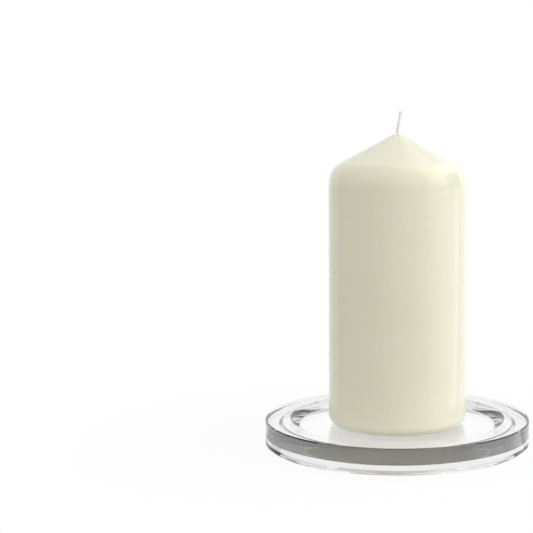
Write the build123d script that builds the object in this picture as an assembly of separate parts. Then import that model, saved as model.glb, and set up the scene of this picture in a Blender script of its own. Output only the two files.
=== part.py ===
from build123d import *
from math import radians, tan
import os

# Candle plate of clear pressed glass, with the pillar candle that stands in its well.
# Units are millimetres and degrees. Z is up and is the axis of the plate and the candle.
# The foot ring stands on Z = 0, and the wick leans towards +X.

# Glass plate: rim and upright wall
plate_diameter = 110.0
plate_height = 10.45
rim_width = 10.3  # flat top of the rim, from the plate's edge to the edge of the well
rim_outer_edge = 0.5  # bevel of the rim's outer edge
rim_inner_edge = 0.5  # rounding where the rim turns down into the well
base_edge = 0.8  # bevel at the bottom of the upright wall

# Glass plate: well for the candle
well_depth = 2.7  # top of the rim to the floor
wall_run = 3.9  # the well's conical wall, measured along the radius
wall_foot = 0.5  # rounding between the conical wall and the floor

# Glass plate: hollow underneath, which leaves a foot ring to stand on
hollow_height = 2.9
foot_width = 6.7  # from the plate's edge to the hollow's wall, just above the bevel
foot_bevel = 0.9  # bevel at the ring's inner edge, as wide as it is high
hollow_draft = 0.3  # how far the hollow's wall leans in from the bevel to the ceiling

# Pillar candle
candle_diameter = 57.3
candle_height = 120.8  # base to the tip of the cone
candle_base_edge = 4.3  # rounding at the base
cone_angle = 27.8  # slope of the conical top above the horizontal
shoulder_radius = 9.4  # rounding between the side and the cone
tip_diameter = 2.6  # flat at the top of the cone that the wick comes out of
tip_edge = 0.3  # bevel round that flat

# Wick
wick_diameter = 1.4
wick_clearance = 0.03  # between the wick and the wax or the collar, on the radius
wick_showing = 9.4  # length along the wick above the tip of the cone
wick_lean = 9.5
wick_bend_radius = 6.0

# Wick tab, the metal disc with a crimped collar that anchors the wick in the base
tab_diameter = 18.0
tab_thickness = 0.35
tab_recess = 0.3  # how far the disc sits above the candle's base
tab_clearance = 0.05  # between the tab and the wax around it
tab_rib_diameter = 12.0  # ring pressed up into the disc to stiffen it
tab_rib_width = 1.2
tab_rib_height = 0.3
collar_height = 5.0
collar_wall = 0.35
crimp_count = 4
crimp_depth = 0.15
crimp_width = 0.7
crimp_height = 1.4

# Length by which a cutting tool runs past the face that it cuts
overrun = 1.0

# Places worked out from the sizes
plate_radius = plate_diameter / 2
rim_radius = plate_radius - rim_width
floor_radius = rim_radius - wall_run
hollow_radius = plate_radius - foot_width
seat_z = plate_height - well_depth
candle_radius = candle_diameter / 2
tip_radius = tip_diameter / 2
tip_z = seat_z + candle_height
wick_radius = wick_diameter / 2
wick_bore_radius = wick_radius + wick_clearance
tab_radius = tab_diameter / 2
tab_z = seat_z + tab_recess
tab_top_z = tab_z + tab_thickness
collar_radius = wick_bore_radius + collar_wall
collar_top_z = tab_top_z + collar_height


def section(points):
    """Closed face in the XZ plane through points of (radius, height)."""
    return Plane.XZ * make_face(Polyline(*points, close=True))


def corner_at(face, radius, height):
    """The face's corner nearest to (radius, height)."""
    return face.vertices().sort_by_distance(Vector(radius, 0, height))[0]


def round_corner(face, radius, height, size):
    """The face with its corner at (radius, height) rounded."""
    return fillet(corner_at(face, radius, height), size)


def bevel_corner(face, radius, height, size):
    """The face with its corner at (radius, height) cut off flat."""
    return chamfer(corner_at(face, radius, height), size)


def turned(face):
    """Solid of revolution of a half section about the Z axis."""
    return revolve(face, Axis.Z)


def upright(radius, low, high):
    """Solid cylinder on the Z axis between two heights."""
    return Pos(0, 0, low) * Cylinder(radius, high - low, align=(Align.CENTER, Align.CENTER, Align.MIN))


def glass_plate():
    """The pressed glass plate: flat rim, well with a conical wall, and a foot ring round a hollow."""
    half = section(
        [
            (0, hollow_height),
            (hollow_radius - hollow_draft, hollow_height),
            (hollow_radius, foot_bevel),
            (hollow_radius + foot_bevel, 0),
            (plate_radius, 0),
            (plate_radius, plate_height),
            (rim_radius, plate_height),
            (floor_radius, seat_z),
            (0, seat_z),
        ]
    )
    half = bevel_corner(half, plate_radius, 0, base_edge)
    half = bevel_corner(half, plate_radius, plate_height, rim_outer_edge)
    half = round_corner(half, rim_radius, plate_height, rim_inner_edge)
    half = round_corner(half, floor_radius, seat_z, wall_foot)
    return turned(half)


def wick_tab():
    """The wick's anchor: a thin disc with a pressed rib and a collar crimped on to the wick."""
    half = section(
        [
            (wick_bore_radius, tab_z),
            (tab_radius, tab_z),
            (tab_radius, tab_top_z),
            (collar_radius, tab_top_z),
            (collar_radius, collar_top_z),
            (wick_bore_radius, collar_top_z),
        ]
    )
    rib = section(
        [
            ((tab_rib_diameter - tab_rib_width) / 2, tab_top_z),
            ((tab_rib_diameter + tab_rib_width) / 2, tab_top_z),
            (tab_rib_diameter / 2, tab_top_z + tab_rib_height),
        ]
    )
    crimp = Pos(collar_radius + crimp_width / 2 - crimp_depth, 0, collar_top_z - crimp_height) * Box(
        crimp_width, crimp_width, crimp_height
    )
    crimps = [Rot(0, 0, turn * 360 / crimp_count) * crimp for turn in range(crimp_count)]
    return turned(half) + turned(rib) - crimps


def wax_body():
    """The pillar candle's wax: straight side, conical top, wick bore and a pocket for the tab."""
    side_top_z = tip_z - (candle_radius - tip_radius) * tan(radians(cone_angle))
    half = section(
        [
            (0, seat_z),
            (candle_radius, seat_z),
            (candle_radius, side_top_z),
            (tip_radius, tip_z),
            (0, tip_z),
        ]
    )
    half = round_corner(half, candle_radius, seat_z, candle_base_edge)
    half = round_corner(half, candle_radius, side_top_z, shoulder_radius)
    half = bevel_corner(half, tip_radius, tip_z, tip_edge)
    pocket_top_z = tab_top_z + tab_rib_height + tab_clearance
    disc_pocket = upright(tab_radius + tab_clearance, seat_z - overrun, pocket_top_z)
    collar_bore = upright(collar_radius + tab_clearance, seat_z - overrun, collar_top_z + tab_clearance)
    wick_bore = upright(wick_bore_radius, seat_z - overrun, tip_z + overrun)
    return turned(half) - disc_pocket - collar_bore - wick_bore


def wick():
    """The wick: straight through the wax, then bent over where it leaves the tip."""
    straight = Line((0, tab_z), (0, tip_z))
    bend = JernArc(straight @ 1, straight % 1, wick_bend_radius, -wick_lean)
    free_length = wick_showing - wick_bend_radius * radians(wick_lean)
    free_end = Line(bend @ 1, bend @ 1 + (bend % 1) * free_length)
    path = Plane.XZ * Curve([straight, bend, free_end])
    return sweep(Pos(0, 0, tab_z) * Circle(wick_radius), path=path)


def main():
    os.makedirs("parts", exist_ok=True)
    pieces = {
        "glass_plate": glass_plate(),
        "wax_body": wax_body(),
        "wick": wick(),
        "wick_tab": wick_tab(),
    }
    for name, piece in pieces.items():
        export_step(piece, f"parts/{name}.step")


main()
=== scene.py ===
import math

import bpy
from mathutils import Matrix, Vector


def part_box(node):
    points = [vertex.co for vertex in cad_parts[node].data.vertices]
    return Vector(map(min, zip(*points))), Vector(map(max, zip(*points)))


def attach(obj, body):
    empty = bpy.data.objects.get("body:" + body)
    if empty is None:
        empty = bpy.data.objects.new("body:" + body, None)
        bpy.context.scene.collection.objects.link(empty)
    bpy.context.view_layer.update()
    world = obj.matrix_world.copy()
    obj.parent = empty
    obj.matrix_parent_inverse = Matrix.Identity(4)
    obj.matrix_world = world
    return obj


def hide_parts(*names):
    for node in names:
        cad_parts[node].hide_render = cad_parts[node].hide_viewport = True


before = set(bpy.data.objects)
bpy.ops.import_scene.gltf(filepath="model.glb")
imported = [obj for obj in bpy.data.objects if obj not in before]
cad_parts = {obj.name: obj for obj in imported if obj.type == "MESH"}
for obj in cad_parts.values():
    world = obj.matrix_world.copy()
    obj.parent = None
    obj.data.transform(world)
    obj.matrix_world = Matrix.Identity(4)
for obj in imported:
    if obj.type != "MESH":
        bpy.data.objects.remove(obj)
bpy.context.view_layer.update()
_, glass_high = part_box("glass_plate")
wax_low, wax_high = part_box("wax_body")

MM = 0.001

# Camera: on the -Y side, with the photograph's crop made by the shift
PHOTO_SIZE = 533  # the photograph is square, in pixels
CAMERA_DISTANCE = 521.1 * MM
CAMERA_HEIGHT = 129.15 * MM
CAMERA_PITCH = math.radians(3.3)
CAMERA_YAW = math.radians(1.2)
FOCAL_PIXELS = 1257.6
AXIS_X = 371.0  # the pixel on the camera's own axis, across and down
AXIS_Y = 204.7
SENSOR = 36.0  # width, in millimetres as the lens is
CLIP_START = 10 * MM

# Plate: its outer size and the floor of its well are the CAD's
PLATE_R = glass_high.x
PLATE_H = glass_high.z
SEAT_Z = wax_low.z
RIM_WIDTH = 10.3 * MM
WALL_RUN = 3.9 * MM  # the well's conical wall, measured along the radius
RIM_OUTER_EDGE = 0.5 * MM
RIM_INNER_EDGE = 0.4 * MM
WELL_FOOT = 0.4 * MM
BASE_EDGE = 0.8 * MM
FOOT_WIDTH = 6.7 * MM
FOOT_BEVEL = 0.9 * MM
FOOT_EDGE = 0.3 * MM  # rounding at the foot ring's outer edge
HOLLOW_H = 2.9 * MM
HOLLOW_DRAFT = 0.3 * MM
HOLLOW_EDGE = 0.3 * MM
BEVEL_EDGE = 0.15 * MM  # rounding of the bevels' other corners
RIM_R = PLATE_R - RIM_WIDTH
WELL_R = RIM_R - WALL_RUN
HOLLOW_R = PLATE_R - FOOT_WIDTH
HOLLOW_TOP_R = HOLLOW_R - HOLLOW_DRAFT

# Candle: its outer size is the CAD's
CANDLE_R = wax_high.x
TIP_Z = wax_high.z
TIP_R = 1.3 * MM
TIP_EDGE = 0.3 * MM
CONE_SLOPE = math.radians(27.8)
CANDLE_BASE_EDGE = 4.3 * MM
SHOULDER_START = 14 * MM  # gentle rounding at the corner where the side begins to lean in
SHOULDER_LEAN = math.radians(15)
SHOULDER_RUN = 6.2 * MM  # from that corner to the next, where the cone begins
SHOULDER = 8.5 * MM  # rounding of the second corner
CONTACT = 0.01 * MM  # the wax has settled on to the glass, so that the two touch optically

# Wick: strands that run both ways round a core. It bends in the XZ plane, so Y is across it all along.
WICK_ACROSS = Vector((0, 1, 0))
WICK_R = 0.7 * MM
WICK_RISE = 0.4 * MM  # its foot is this far above the candle's base
WICK_FOOT_Z = SEAT_Z + WICK_RISE
WICK_SHOWING = 9.4 * MM
WICK_LEAN = math.radians(9.5)
WICK_BEND = 6.0 * MM  # radius of the bend, which starts at the cone's tip
WICK_CORE = 0.5 * MM
STRAND_R = 0.16 * MM
STRAND_WAVE = 0.06 * MM
STRANDS = 4  # in each direction round the wick
BRAID_PITCH = 4.4 * MM
BRAID_STEP = 0.22 * MM  # between the points of a strand
BRAID_SHORT = 0.05 * MM  # the strands stop this far short of the wick's end
STRAND_SIDES = 6
STRAND_END = 0.5  # the ends are drawn in to this much of the radius
CORE_SHORT = 0.15 * MM  # the core stops this far short of the strands
CORE_SHARE = 4  # the core has one point for this many of a strand's
CORE_SIDES = 12
CORE_END = 0.7

# Meshes
LATHE_SEGMENTS = 360
ARC_STEP = 0.12  # radians between the points of an arc, at most
ARC_STEPS_LEAST = 3

# Finishes
GLASS_DENSITY = 12.5  # absorption for each metre of glass
GLASS_LEAVES = (0.5, 0.505, 0.5, 1)  # share of each colour that the glass takes nothing from
WAX_DEEP = (0.827, 0.803, 0.639)
WAX_PALE = (0.847, 0.823, 0.659)
WAX_SPECKS = 0.96  # tone of the grain's darkest specks, against the wax around them
WAX_REACH = (6.0 * MM, 5.6 * MM, 4.2 * MM)  # how far red, green and blue light travel inside
WAX_SMOOTH = 0.04
WAX_DULL = 0.07
# painted shade: the greyer tone that the wick's fibres take in their hollows
COTTON_HOLLOW_SHADE = (0.78, 0.78, 0.77)
COTTON_PALE = (0.9, 0.9, 0.89)
TIN_DEEP = (0.60, 0.60, 0.59)
TIN_PALE = (0.78, 0.78, 0.77)
TIN_ROLLING = (300.0, 6000.0, 6000.0)  # the rolled grain is drawn out along X
TIN_SMOOTH = 0.25
TIN_DULL = 0.42

# Floor: a white table, which takes shadows in full up to the first distance and none past the second
FLOOR_SIZE = 6.0
FLOOR_DROP = 0.05 * MM  # it lies this far below the foot ring, so that the two don't share a plane
SHADOW_NEAR = 80 * MM
SHADOW_FAR = 160 * MM
SHADOW_SHARE = 0.08  # how much of its light comes from the lamps, where it takes shadows

# Lamps: name, azimuth and elevation in degrees, width and height in metres, power in watts, and colour
LAMP_DISTANCE = 0.9
LAMP_AIM_Z = 70 * MM
LAMPS = [
    ("softbox_right", 65, 25, 0.8, 0.6, 3.7, (0.985, 1.0, 1.04)),
    ("softbox_front", 0, 12, 0.5, 0.5, 2.95, (1.0, 0.98, 0.97)),
    ("edge_left", -100, 12, 0.5, 0.5, 2.05, (1.0, 0.96, 0.94)),
    ("edge_right", 110, 12, 0.5, 0.5, 3.5, (0.99, 1.0, 1.0)),
]

# Light on the part
FLOOR_FILL = 0.10  # from the floor
FLOOR_FILL_NEAR = 0.25  # from the floor under the plate
ROOM_FILL = 0.48  # from the room
THROUGH_FILL = 0.35  # from the room, through the glass
THROUGH_FILL_UNDER = 1.1  # from the floor under the candle, through the glass
THROUGH_FILL_FLOOR = 0.42  # from the rest of the floor, through the glass
UNDER_R = 34 * MM  # the floor under the candle ends here, and turns into the rest by the rim's inner edge
NO_BOUNCE = 0.5  # fewer diffuse bounces than this is none

# Tones by azimuth, each a list of (degrees, grey or colour). Azimuths run from the camera's side towards +X.


def mirrored(stops):
    """Stops all the way round, from those on the +X side."""
    return [(-degrees, tone) for degrees, tone in reversed(stops)] + stops


# What shows through the glass: the floor past the plate, the room, and a dark band high behind
FLOOR_STEP = 6 * MM  # past the plate the floor turns from white into these tones over this much
FLOOR_THROUGH = mirrored([(52, 0.95), (60, 0.5), (116, 0.5), (121, 0.7), (180, 0.7)])
ROOM_THROUGH = [
    (-180, 1.15), (-151, 1.15), (-148, 0.87), (-120, 0.87), (-90, 0.95), (-60, 0.9), (-48, 0.45),
    (48, 0.45), (60, 1.0), (120, 1.0), (148, 1.0), (151, 1.15),
]
BAND_SIDES = mirrored([(147, 0), (153, 1), (180, 1)])
BAND_HEIGHT = [(0.0, 0), (0.3, 0), (0.32, 1), (0.49, 1), (0.51, 0)]  # by the sine of the elevation
BAND_TONE = 0.25

# What gloss sees: the white backdrop behind, a plain room in front, and a dark doorway under the softbox
# on the right. The backdrop's edge on the right is warm.
WARM = (1.2, 1.17, 1.05)
WARM_BRIGHT = (1.3, 1.22, 1.05)
BACK_LEFT = [(-180, 1.2), (-119, 1.2), (-114, 0.75)]
BACK_RIGHT = [(126, 0.8), (130, 0.85), (133, WARM), (140, WARM), (150, 1.2)]
FLOOR_RIGHT = [(52, 0.95), (57, 1.5), (94, 1.55), (97, 1.2), (108, 1.4), (117, 1.85), (123, 1.85)]
FLOOR_RIGHT_FAR = [(52, 0.95), (57, 1.5), (94, 1.5), (97, 0.95), (123, 1.15)]
DOORWAY = [(54, 0.75), (91, 0.75), (92, 0.05), (130, 0.05)]
DOORWAY_BACK = [(131, WARM_BRIGHT), (145, WARM_BRIGHT), (158, 1.2)]
FLOOR_GLOSS = BACK_LEFT + FLOOR_RIGHT + BACK_RIGHT
FLOOR_GLOSS_FAR = BACK_LEFT + FLOOR_RIGHT_FAR + BACK_RIGHT
ROOM_GLOSS = BACK_LEFT + DOORWAY + DOORWAY_BACK
GLOSS_CENTRE = (25 * MM, -35 * MM, 0)  # the azimuths of the floor's gloss are taken from here
GLOSS_NEAR = 0.8  # the floor's gloss turns from the near tones into the far ones between these distances
GLOSS_FAR = 2.5
SOFTBOX_GLOSS = 1.95
# The softbox's lower edge, as the sine of its elevation, and the sine over which it fades in
SOFTBOX_EDGE = [
    (-180, 0.5), (-150, 0.5), (-140, 1), (54, 1), (55, 0), (91, 0), (92, 0.47), (130, 0.47), (131, 0),
    (134, 0), (142, 0.34), (152, 0.5), (160, 0.6), (166, 0.68), (173, 0.76), (180, 0.8),
]
SOFTBOX_FADE = [(-180, 0.7), (-150, 0.7), (-140, 0.02), (155, 0.02), (166, 0.2)]

# Places of the colour sockets on a Mix node
MIX_A = 6
MIX_B = 7
MIX_RESULT = 2


def rounded_outline(corners):
    """Points along straight runs joined by arcs, each with the two parts of its outward normal.

    corners holds (radius, height, rounding), anticlockwise. All but the two ends have a rounding.
    """
    points = []
    last = len(corners) - 1
    for index, (radius, height, rounding) in enumerate(corners):
        here = Vector((radius, height))
        if index == 0:
            along = (Vector(corners[1][:2]) - here).normalized()
            points.append((radius, height, along.y, -along.x))
            continue
        before = (here - Vector(corners[index - 1][:2])).normalized()
        if index == last:
            points.append((radius, height, before.y, -before.x))
            continue
        after = (Vector(corners[index + 1][:2]) - here).normalized()
        turn = before.angle_signed(after)
        side = 1 if turn < 0 else -1
        start = here - before * (rounding * math.tan(abs(turn) / 2))
        centre = start + Vector((-before.y, before.x)) * rounding * side
        steps = max(ARC_STEPS_LEAST, math.ceil(abs(turn) / ARC_STEP))
        for step in range(steps + 1):
            along = before.copy()
            along.rotate(Matrix.Rotation(-step / steps * turn, 2))
            point = centre - Vector((-along.y, along.x)) * rounding * side
            points.append((point.x, point.y, along.y, -along.x))
    return points


def new_object(name, verts, faces, normals=None):
    """A smooth mesh object, with its vertices' normals where they are known."""
    mesh = bpy.data.meshes.new(name)
    mesh.from_pydata(verts, [], faces)
    mesh.update()
    for face in mesh.polygons:
        face.use_smooth = True
    if normals:
        mesh.normals_split_custom_set_from_vertices(normals)
    obj = bpy.data.objects.new(name, mesh)
    bpy.context.scene.collection.objects.link(obj)
    return obj


def lathe(name, outline):
    """A turned mesh from an outline that starts and ends on the axis, with its exact normals."""
    verts = []
    normals = []
    rings = []
    for radius, height, normal_r, normal_z in outline:
        if radius == 0:
            rings.append([len(verts)])
            verts.append((0, 0, height))
            normals.append((0, 0, normal_z))
            continue
        rings.append(range(len(verts), len(verts) + LATHE_SEGMENTS))
        for segment in range(LATHE_SEGMENTS):
            angle = 2 * math.pi * segment / LATHE_SEGMENTS
            verts.append((radius * math.cos(angle), radius * math.sin(angle), height))
            normals.append((normal_r * math.cos(angle), normal_r * math.sin(angle), normal_z))
    faces = []
    for ring, onward in zip(rings, rings[1:]):
        for segment in range(LATHE_SEGMENTS):
            following = (segment + 1) % LATHE_SEGMENTS
            if len(ring) == 1:
                faces.append((ring[0], onward[following], onward[segment]))
            elif len(onward) == 1:
                faces.append((ring[segment], ring[following], onward[0]))
            else:
                faces.append((ring[segment], ring[following], onward[following], onward[segment]))
    return new_object(name, verts, faces, normals)


def tube(verts, faces, path, radius, sides, end):
    """Adds a tube along a path of points in the wick, its ends drawn in to end times the radius."""
    first = len(verts)
    last = len(path) - 1
    for index, point in enumerate(path):
        along = (path[min(index + 1, last)] - path[max(index - 1, 0)]).normalized()
        across = WICK_ACROSS.cross(along).normalized()
        upright = along.cross(across)
        reach = radius * (end if index in (0, last) else 1)
        for side in range(sides):
            angle = 2 * math.pi * side / sides
            verts.append(point + across * (reach * math.cos(angle)) + upright * (reach * math.sin(angle)))
    for index in range(last):
        near = first + index * sides
        far = near + sides
        for side in range(sides):
            following = (side + 1) % sides
            faces.append((near + side, near + following, far + following, far + side))
    faces.append(tuple(first + side for side in reversed(range(sides))))
    faces.append(tuple(first + last * sides + side for side in range(sides)))


def node(tree, kind, **values):
    """A new node, with its inputs and settings given by name."""
    made = tree.nodes.new(kind)
    for key, value in values.items():
        if key in made.inputs:
            made.inputs[key].default_value = value
        else:
            setattr(made, key, value)
    return made


def calculated(tree, operation, a, b, **settings):
    """Result of an operation on a, a socket, and b, a socket or a number."""
    made = node(tree, "ShaderNodeMath", operation=operation, **settings)
    tree.links.new(a, made.inputs[0])
    if isinstance(b, float):
        made.inputs[1].default_value = b
    else:
        tree.links.new(b, made.inputs[1])
    return made.outputs[0]


def spread(tree, value, low, high, at_low=0.0, at_high=1.0):
    """at_low up to low and at_high from high on, with an even change between."""
    made = node(tree, "ShaderNodeMapRange")
    tree.links.new(value, made.inputs["Value"])
    made.inputs["From Min"].default_value = low
    made.inputs["From Max"].default_value = high
    made.inputs["To Min"].default_value = at_low
    made.inputs["To Max"].default_value = at_high
    return made.outputs["Result"]


def ramp(tree, source, stops):
    """Tone at source, from stops of (place from 0 to 1, grey or colour)."""
    made = node(tree, "ShaderNodeValToRGB")
    items = made.color_ramp.elements
    items.remove(items[1])
    for index, (place, tone) in enumerate(stops):
        item = items.new(place) if index else items[0]
        item.position = place
        item.color = (*tone, 1) if isinstance(tone, tuple) else (tone, tone, tone, 1)
    tree.links.new(source, made.inputs[0])
    return made.outputs[0]


def mixed(tree, factor, a, b):
    """Colour between a and b, each a socket or a grey, by the factor socket."""
    made = node(tree, "ShaderNodeMix", data_type="RGBA")
    tree.links.new(factor, made.inputs[0])
    for index, value in ((MIX_A, a), (MIX_B, b)):
        if isinstance(value, float):
            made.inputs[index].default_value = (value, value, value, 1)
        else:
            tree.links.new(value, made.inputs[index])
    return made.outputs[MIX_RESULT]


def multiplied(tree, a, b):
    """Colour a times colour b."""
    made = node(tree, "ShaderNodeMix", data_type="RGBA", blend_type="MULTIPLY")
    made.inputs[0].default_value = 1.0
    tree.links.new(a, made.inputs[MIX_A])
    tree.links.new(b, made.inputs[MIX_B])
    return made.outputs[MIX_RESULT]


def noise(tree, place, scale, detail):
    """Soft noise from 0 to 1, of about scale features to the metre."""
    made = node(tree, "ShaderNodeTexNoise", Scale=scale, Detail=detail)
    tree.links.new(place, made.inputs["Vector"])
    return made.outputs[0]


def bump(tree, shader, height, strength, depth):
    """Gives the shader's surface that height, from 0 to 1 for the depth in metres."""
    made = node(tree, "ShaderNodeBump", Strength=strength, Distance=depth)
    tree.links.new(height, made.inputs["Height"])
    tree.links.new(made.outputs[0], shader.inputs["Normal"])


def azimuth(tree, vector):
    """A vector's azimuth, from 0 to 1 for -180 to 180 degrees."""
    parts = node(tree, "ShaderNodeSeparateXYZ")
    tree.links.new(vector, parts.inputs[0])
    front = calculated(tree, "MULTIPLY", parts.outputs["Y"], -1.0)
    angle = calculated(tree, "ARCTAN2", parts.outputs["X"], front)
    return spread(tree, angle, -math.pi, math.pi)


def by_azimuth(tree, around, stops):
    """Tone at an azimuth from 0 to 1, from stops of (degrees, grey or colour)."""
    return ramp(tree, around, [((degrees + 180) / 360, tone) for degrees, tone in stops])


def by_ray(tree, fill, through_fill, gloss, through):
    """White to the camera, gloss to a reflection that it sees, and through to what it sees in the glass.

    The light on the part is fill, or through_fill where it comes by way of the glass.
    """
    rays = node(tree, "ShaderNodeLightPath")
    glass = rays.outputs["Is Transmission Ray"]
    looking = calculated(tree, "LESS_THAN", rays.outputs["Diffuse Depth"], NO_BOUNCE)
    tone = mixed(tree, glass, fill, through_fill)
    tone = mixed(tree, calculated(tree, "MULTIPLY", rays.outputs["Is Glossy Ray"], looking), tone, gloss)
    tone = mixed(tree, calculated(tree, "MULTIPLY", glass, looking), tone, through)
    return mixed(tree, rays.outputs["Is Camera Ray"], tone, 1.0)


def material(name, settings):
    """A material with its shader's inputs set, then its node tree, its shader and the place on the object."""
    finish = bpy.data.materials.new(name)
    finish.use_nodes = True
    tree = finish.node_tree
    shader = tree.nodes["Principled BSDF"]
    for key, value in settings.items():
        shader.inputs[key].default_value = value
    return finish, tree, shader, node(tree, "ShaderNodeTexCoord").outputs["Object"]


def glass_material():
    """Clear pressed glass: a faint waviness of the surface and a grey cast that grows with depth."""
    finish, tree, shader, place = material("clear_glass", {
        "Base Color": (1, 1, 1, 1),
        "Roughness": 0.0,
        "IOR": 1.52,
        "Transmission Weight": 1.0,
    })
    bump(tree, shader, noise(tree, place, scale=90.0, detail=1.0), strength=0.05, depth=0.2 * MM)
    # The colour leaves half of the light alone, so the density is doubled
    depth = node(tree, "ShaderNodeVolumeAbsorption", Color=GLASS_LEAVES, Density=2 * GLASS_DENSITY)
    tree.links.new(depth.outputs[0], tree.nodes["Material Output"].inputs["Volume"])
    return finish


def wax_material():
    """Ivory candle wax: soft light inside, a fine grain and a smooth skin."""
    finish, tree, shader, place = material("candle_wax", {
        "IOR": 1.5,
        "Subsurface Weight": 0.6,
        "Subsurface Radius": WAX_REACH,
        "Subsurface Scale": 1.0,
    })
    cloud = noise(tree, place, scale=45.0, detail=4.0)
    grain = noise(tree, place, scale=1600.0, detail=3.0)
    tone = ramp(tree, cloud, [(0.3, WAX_DEEP), (0.7, WAX_PALE)])
    speckle = ramp(tree, grain, [(0.3, WAX_SPECKS), (0.7, 1.0)])
    rough = ramp(tree, cloud, [(0.2, WAX_SMOOTH), (0.8, WAX_DULL)])
    tree.links.new(multiplied(tree, tone, speckle), shader.inputs["Base Color"])
    tree.links.new(rough, shader.inputs["Roughness"])
    bump(tree, shader, grain, strength=0.03, depth=0.1 * MM)
    return finish


def cotton_material():
    """Waxed cotton: fine fibres, pale, with painted shade as a greyer tone in their hollows."""
    finish, tree, shader, place = material("wick_cotton", {"Roughness": 0.75, "Sheen Weight": 0.3})
    fibre = noise(tree, place, scale=3500.0, detail=4.0)
    # the fibre noise also gives the bump, so the greyer tone is painted shade in the bump's hollows
    tone = ramp(tree, fibre, [(0.3, COTTON_HOLLOW_SHADE), (0.7, COTTON_PALE)])
    tree.links.new(tone, shader.inputs["Base Color"])
    bump(tree, shader, fibre, strength=0.5, depth=0.05 * MM)
    return finish


def tin_material():
    """Tinned steel sheet: rolled grain, a dull shine and small spangles."""
    finish, tree, shader, place = material("tinned_steel", {"Metallic": 1.0})
    rolled = node(tree, "ShaderNodeMapping", Scale=TIN_ROLLING)
    tree.links.new(place, rolled.inputs["Vector"])
    grain = noise(tree, rolled.outputs[0], scale=1.0, detail=3.0)
    spangle = node(tree, "ShaderNodeTexVoronoi", Scale=900.0)
    tree.links.new(place, spangle.inputs["Vector"])
    tone = ramp(tree, spangle.outputs["Color"], [(0.0, TIN_DEEP), (1.0, TIN_PALE)])
    rough = ramp(tree, grain, [(0.3, TIN_SMOOTH), (0.7, TIN_DULL)])
    tree.links.new(tone, shader.inputs["Base Color"])
    tree.links.new(rough, shader.inputs["Roughness"])
    bump(tree, shader, grain, strength=0.2, depth=0.02 * MM)
    return finish


plate_outline = rounded_outline([
    (0, HOLLOW_H, 0),
    (HOLLOW_TOP_R, HOLLOW_H, HOLLOW_EDGE),
    (HOLLOW_R, FOOT_BEVEL, BEVEL_EDGE),
    (HOLLOW_R + FOOT_BEVEL, 0, BEVEL_EDGE),
    (PLATE_R - BASE_EDGE, 0, FOOT_EDGE),
    (PLATE_R, BASE_EDGE, BEVEL_EDGE),
    (PLATE_R, PLATE_H - RIM_OUTER_EDGE, BEVEL_EDGE),
    (PLATE_R - RIM_OUTER_EDGE, PLATE_H, BEVEL_EDGE),
    (RIM_R, PLATE_H, RIM_INNER_EDGE),
    (WELL_R, SEAT_Z, WELL_FOOT),
    (0, SEAT_Z, 0),
])
plate = lathe("plate_glass", plate_outline)
plate.data.materials.append(glass_material())
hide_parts("glass_plate")
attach(plate, "plate")

lean_in = SHOULDER_RUN * math.sin(SHOULDER_LEAN)
lean_top = TIP_Z - (CANDLE_R - lean_in - TIP_R) * math.tan(CONE_SLOPE)
wax_outline = rounded_outline([
    (0, SEAT_Z - CONTACT, 0),
    (CANDLE_R, SEAT_Z - CONTACT, CANDLE_BASE_EDGE),
    (CANDLE_R, lean_top - SHOULDER_RUN * math.cos(SHOULDER_LEAN), SHOULDER_START),
    (CANDLE_R - lean_in, lean_top, SHOULDER),
    (TIP_R, TIP_Z, TIP_EDGE),
    (0, TIP_Z, 0),
])
wax = lathe("candle_wax_body", wax_outline)
wax.data.materials.append(wax_material())
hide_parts("wax_body")
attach(wax, "candle")


def wick_place(length):
    """Point on the wick's middle line at that length from its foot, with the line's direction."""
    straight = TIP_Z - WICK_FOOT_Z
    if length <= straight:
        return Vector((0, 0, WICK_FOOT_Z + length)), Vector((0, 0, 1))
    lean = min((length - straight) / WICK_BEND, WICK_LEAN)
    bend = Vector((WICK_BEND * (1 - math.cos(lean)), 0, TIP_Z + WICK_BEND * math.sin(lean)))
    along = Vector((math.sin(lean), 0, math.cos(lean)))
    return bend + along * max(length - straight - WICK_BEND * WICK_LEAN, 0), along


def braided_wick():
    """Strands that cross over and under each other round a core."""
    verts = []
    faces = []
    length = TIP_Z - WICK_FOOT_Z + WICK_SHOWING - BRAID_SHORT
    steps = round(length / BRAID_STEP)
    stations = [length * step / steps for step in range(steps + 1)]
    core = [wick_place(station)[0] for station in stations[::CORE_SHARE] + [length - CORE_SHORT]]
    tube(verts, faces, core, WICK_CORE, CORE_SIDES, CORE_END)
    for way in (1, -1):
        for strand in range(STRANDS):
            path = []
            for station in stations:
                point, along = wick_place(station)
                turn = 2 * math.pi * station / BRAID_PITCH
                angle = way * turn + 2 * math.pi * strand / STRANDS
                radius = WICK_R - STRAND_R - STRAND_WAVE + way * STRAND_WAVE * math.cos(STRANDS * turn)
                outward = WICK_ACROSS * math.cos(angle) + along.cross(WICK_ACROSS) * math.sin(angle)
                path.append(point + outward * radius)
            tube(verts, faces, path, STRAND_R, STRAND_SIDES, STRAND_END)
    return new_object("braided_wick", verts, faces)


wick = braided_wick()
wick.data.materials.append(cotton_material())
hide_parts("wick")
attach(wick, "candle")

tin = tin_material()
for tab_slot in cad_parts["wick_tab"].material_slots:
    tab_slot.material = tin


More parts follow.
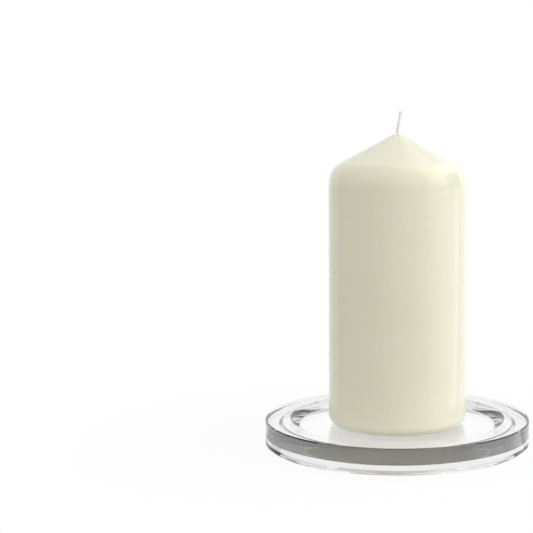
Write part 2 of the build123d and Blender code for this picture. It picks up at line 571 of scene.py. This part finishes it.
def floor_material():
    """The white table, with tones of its own for gloss, for glass and as light on the part."""
    finish = bpy.data.materials.new("floor")
    finish.use_nodes = True
    finish.cycles.emission_sampling = "NONE"
    tree = finish.node_tree
    tree.nodes.clear()
    place = node(tree, "ShaderNodeNewGeometry").outputs["Position"]
    length = node(tree, "ShaderNodeVectorMath", operation="LENGTH")
    tree.links.new(place, length.inputs[0])
    away = length.outputs["Value"]
    from_centre = node(tree, "ShaderNodeVectorMath", operation="SUBTRACT")
    tree.links.new(place, from_centre.inputs[0])
    from_centre.inputs[1].default_value = GLOSS_CENTRE

    past = spread(tree, away, PLATE_R, PLATE_R + FLOOR_STEP)
    through = mixed(tree, past, 1.0, by_azimuth(tree, azimuth(tree, place), FLOOR_THROUGH))
    fill = mixed(tree, past, FLOOR_FILL_NEAR, FLOOR_FILL)
    clear = spread(tree, away, UNDER_R, RIM_R)
    through_fill = mixed(tree, clear, THROUGH_FILL_UNDER, THROUGH_FILL_FLOOR)
    around = azimuth(tree, from_centre.outputs[0])
    gloss_near = by_azimuth(tree, around, FLOOR_GLOSS)
    gloss_far = by_azimuth(tree, around, FLOOR_GLOSS_FAR)
    gloss = mixed(tree, spread(tree, away, GLOSS_NEAR, GLOSS_FAR), gloss_near, gloss_far)
    tone = by_ray(tree, fill, through_fill, gloss, through)

    diffuse = node(tree, "ShaderNodeBsdfDiffuse")
    glow = node(tree, "ShaderNodeEmission")
    mix = node(tree, "ShaderNodeMixShader")
    out = node(tree, "ShaderNodeOutputMaterial")
    unshaded = spread(tree, away, SHADOW_NEAR, SHADOW_FAR, 1 - SHADOW_SHARE, 1.0)
    tree.links.new(tone, diffuse.inputs[0])
    tree.links.new(tone, glow.inputs[0])
    tree.links.new(unshaded, mix.inputs[0])
    tree.links.new(diffuse.outputs[0], mix.inputs[1])
    tree.links.new(glow.outputs[0], mix.inputs[2])
    tree.links.new(mix.outputs[0], out.inputs[0])
    return finish


bpy.ops.mesh.primitive_plane_add(size=FLOOR_SIZE, location=(0, 0, -FLOOR_DROP))
floor = bpy.context.object
floor.name = "floor"
floor.data.materials.append(floor_material())


def studio_world():
    """The white backdrop, and what gloss and glass show of the room and the softbox in front of it."""
    world = bpy.data.worlds.new("studio")
    world.use_nodes = True
    tree = world.node_tree
    tree.nodes.clear()
    direction = node(tree, "ShaderNodeTexCoord").outputs["Generated"]
    parts = node(tree, "ShaderNodeSeparateXYZ")
    tree.links.new(direction, parts.inputs[0])
    rise = parts.outputs["Z"]
    around = azimuth(tree, direction)

    above = calculated(tree, "SUBTRACT", rise, by_azimuth(tree, around, SOFTBOX_EDGE))
    box = calculated(tree, "DIVIDE", above, by_azimuth(tree, around, SOFTBOX_FADE), use_clamp=True)
    gloss = mixed(tree, box, by_azimuth(tree, around, ROOM_GLOSS), SOFTBOX_GLOSS)
    band = calculated(tree, "MULTIPLY", by_azimuth(tree, around, BAND_SIDES), ramp(tree, rise, BAND_HEIGHT))
    through = mixed(tree, band, by_azimuth(tree, around, ROOM_THROUGH), BAND_TONE)
    tone = by_ray(tree, ROOM_FILL, THROUGH_FILL, gloss, through)

    sky = node(tree, "ShaderNodeBackground", Strength=1.0)
    out = node(tree, "ShaderNodeOutputWorld")
    tree.links.new(tone, sky.inputs[0])
    tree.links.new(sky.outputs[0], out.inputs[0])
    return world


bpy.context.scene.world = studio_world()


def softbox(name, azimuth_degrees, elevation_degrees, width, height, power, colour):
    """A soft lamp that looks at the candle and isn't seen itself."""
    data = bpy.data.lights.new(name, "AREA")
    data.energy = power
    data.color = colour
    data.shape = "RECTANGLE"
    data.size = width
    data.size_y = height
    obj = bpy.data.objects.new(name, data)
    turn = math.radians(azimuth_degrees)
    rise = math.radians(elevation_degrees)
    toward = Vector((math.sin(turn) * math.cos(rise), -math.cos(turn) * math.cos(rise), math.sin(rise)))
    obj.location = Vector((0, 0, LAMP_AIM_Z)) + toward * LAMP_DISTANCE
    obj.rotation_euler = (-toward).to_track_quat("-Z", "Y").to_euler()
    obj.visible_camera = False
    obj.visible_glossy = False
    obj.visible_transmission = False
    bpy.context.scene.collection.objects.link(obj)


for lamp in LAMPS:
    softbox(*lamp)

camera_data = bpy.data.cameras.new("camera")
camera_data.sensor_width = SENSOR
camera_data.lens = FOCAL_PIXELS / PHOTO_SIZE * SENSOR
camera_data.shift_x = (PHOTO_SIZE / 2 - AXIS_X) / PHOTO_SIZE
camera_data.shift_y = (AXIS_Y - PHOTO_SIZE / 2) / PHOTO_SIZE
camera_data.clip_start = CLIP_START
camera = bpy.data.objects.new("camera", camera_data)
camera.location = (0, -CAMERA_DISTANCE, CAMERA_HEIGHT)
camera.rotation_euler = (math.pi / 2 - CAMERA_PITCH, 0, CAMERA_YAW)
bpy.context.scene.collection.objects.link(camera)
bpy.context.scene.camera = camera

bpy.context.scene.view_settings.view_transform = "Standard"
